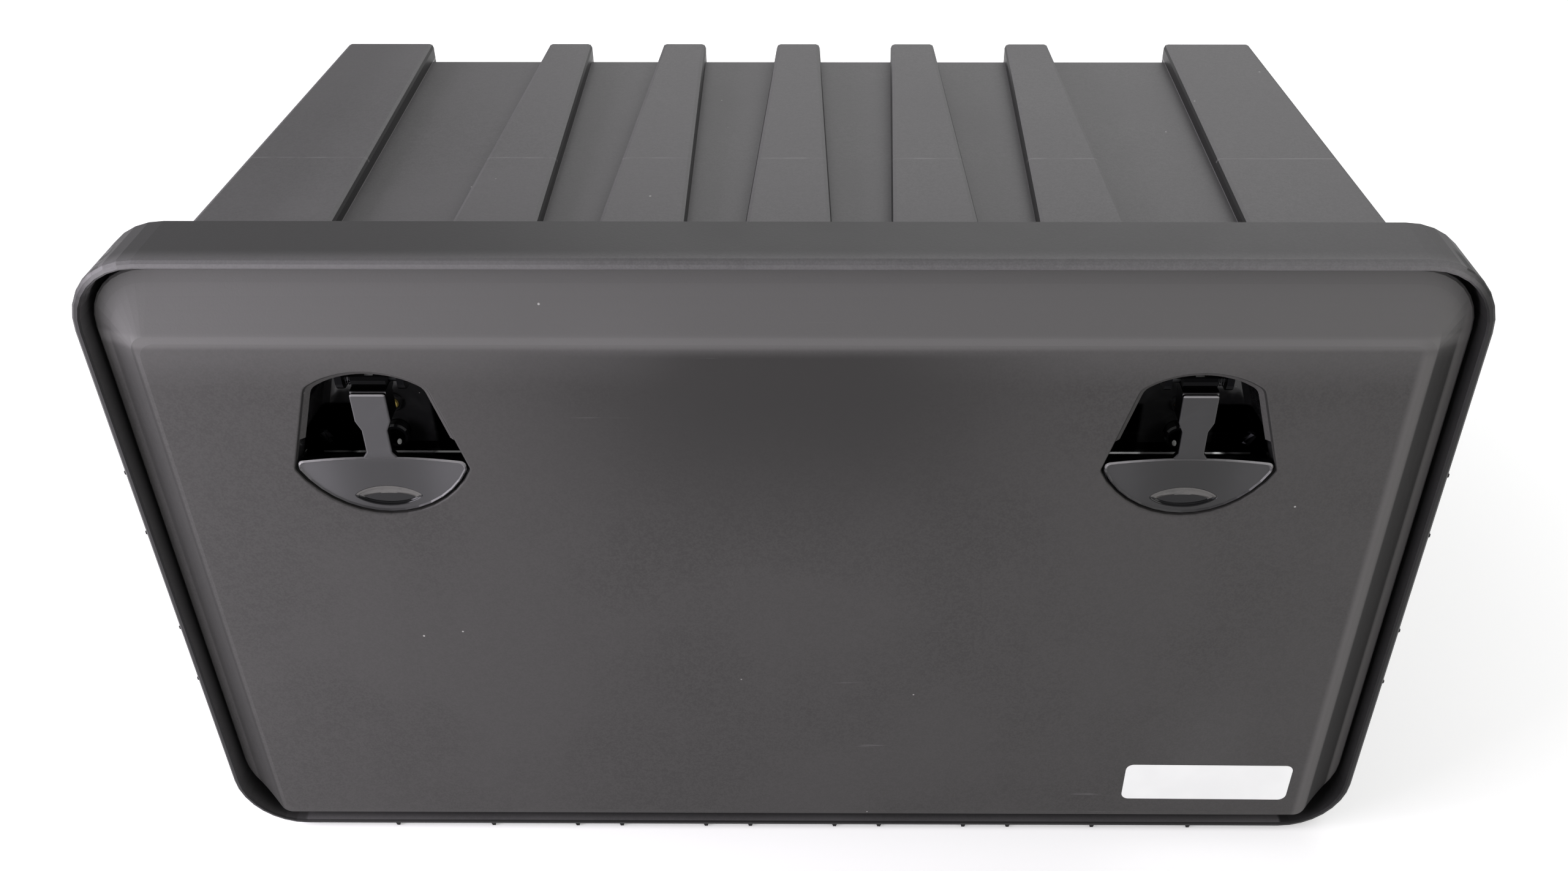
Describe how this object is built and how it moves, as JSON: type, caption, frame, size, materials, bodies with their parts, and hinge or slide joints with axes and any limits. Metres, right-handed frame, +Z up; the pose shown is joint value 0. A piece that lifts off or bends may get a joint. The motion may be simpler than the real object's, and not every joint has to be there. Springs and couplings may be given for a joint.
{
  "type": "underbody truck tool box",
  "caption": "Moulded black tool box that mounts under a truck bed, with a drop-down door held by recessed pull latches with key locks.",
  "frame": {"origin": "under the middle of the box, on the surface that it stands on", "axes": "+X to the right when facing the door, +Y from the door to the back wall, +Z up"},
  "size_m": [0.7516, 0.45, 0.433],
  "materials": {
    "black_moulding": "moulded black polypropylene, fine texture",
    "seal_rubber": "extruded black rubber",
    "gloss_black": "glossy black moulding",
    "satin_black": "satin black",
    "steel": "zinc-plated steel",
    "spring_steel": "drawn spring wire",
    "yellow_zinc": "yellow zinc-plated steel",
    "lock_brass": "machined brass",
    "lock_housing": "black-coated zinc casting"
  },
  "bodies": {
    "box": {"body_shell": "black_moulding", "opening_seal": "seal_rubber", "hinge_bracket_left": "black_moulding", "hinge_bracket_centre": "black_moulding", "hinge_bracket_right": "black_moulding", "hinge_pin_left": "steel", "hinge_pin_centre": "steel", "hinge_pin_right": "steel", "striker_left": "steel", "striker_right": "steel"},
    "door": {"door_panel": "black_moulding", "latch_bowl_left": "gloss_black", "bowl_bolt_left": "yellow_zinc", "pivot_pin_left": "steel", "handle_spring_left": "spring_steel", "lock_housing_left": "lock_housing", "lock_nut_left": "steel", "latch_bowl_right": "gloss_black", "bowl_bolt_right": "yellow_zinc", "pivot_pin_right": "steel", "handle_spring_right": "spring_steel", "lock_housing_right": "lock_housing", "lock_nut_right": "steel"},
    "handle_left": {"handle_left": "satin_black", "hook_left": "steel"},
    "lock_left": {"lock_plug_left": "lock_brass", "lock_cam_left": "steel", "cam_screw_left": "steel"},
    "handle_right": {"handle_right": "satin_black", "hook_right": "steel"},
    "lock_right": {"lock_plug_right": "lock_brass", "lock_cam_right": "steel", "cam_screw_right": "steel"}
  },
  "joints": [
    {"name": "door_hinge", "type": "hinge", "parent": "box", "child": "door", "pos_m": [0, -0.214, 0.025], "axis": [1, 0, 0], "range_deg": [0, 90]},
    {"name": "handle_left_pull", "type": "hinge", "parent": "door", "child": "handle_left", "pos_m": [-0.2272, -0.21, 0.355], "axis": [1, 0, 0], "range_deg": [-25, 0], "stiffness_Nm_per_rad": 0.3, "springref_deg": 28.65},
    {"name": "handle_right_pull", "type": "hinge", "parent": "door", "child": "handle_right", "pos_m": [0.2272, -0.21, 0.355], "axis": [1, 0, 0], "range_deg": [-25, 0], "stiffness_Nm_per_rad": 0.3, "springref_deg": 28.65},
    {"name": "lock_left_turn", "type": "hinge", "parent": "door", "child": "lock_left", "pos_m": [-0.2272, -0.193, 0.304], "axis": [0, 1, 0], "range_deg": [0, 90]},
    {"name": "lock_right_turn", "type": "hinge", "parent": "door", "child": "lock_right", "pos_m": [0.2272, -0.193, 0.304], "axis": [0, 1, 0], "range_deg": [0, 90]}
  ]
}
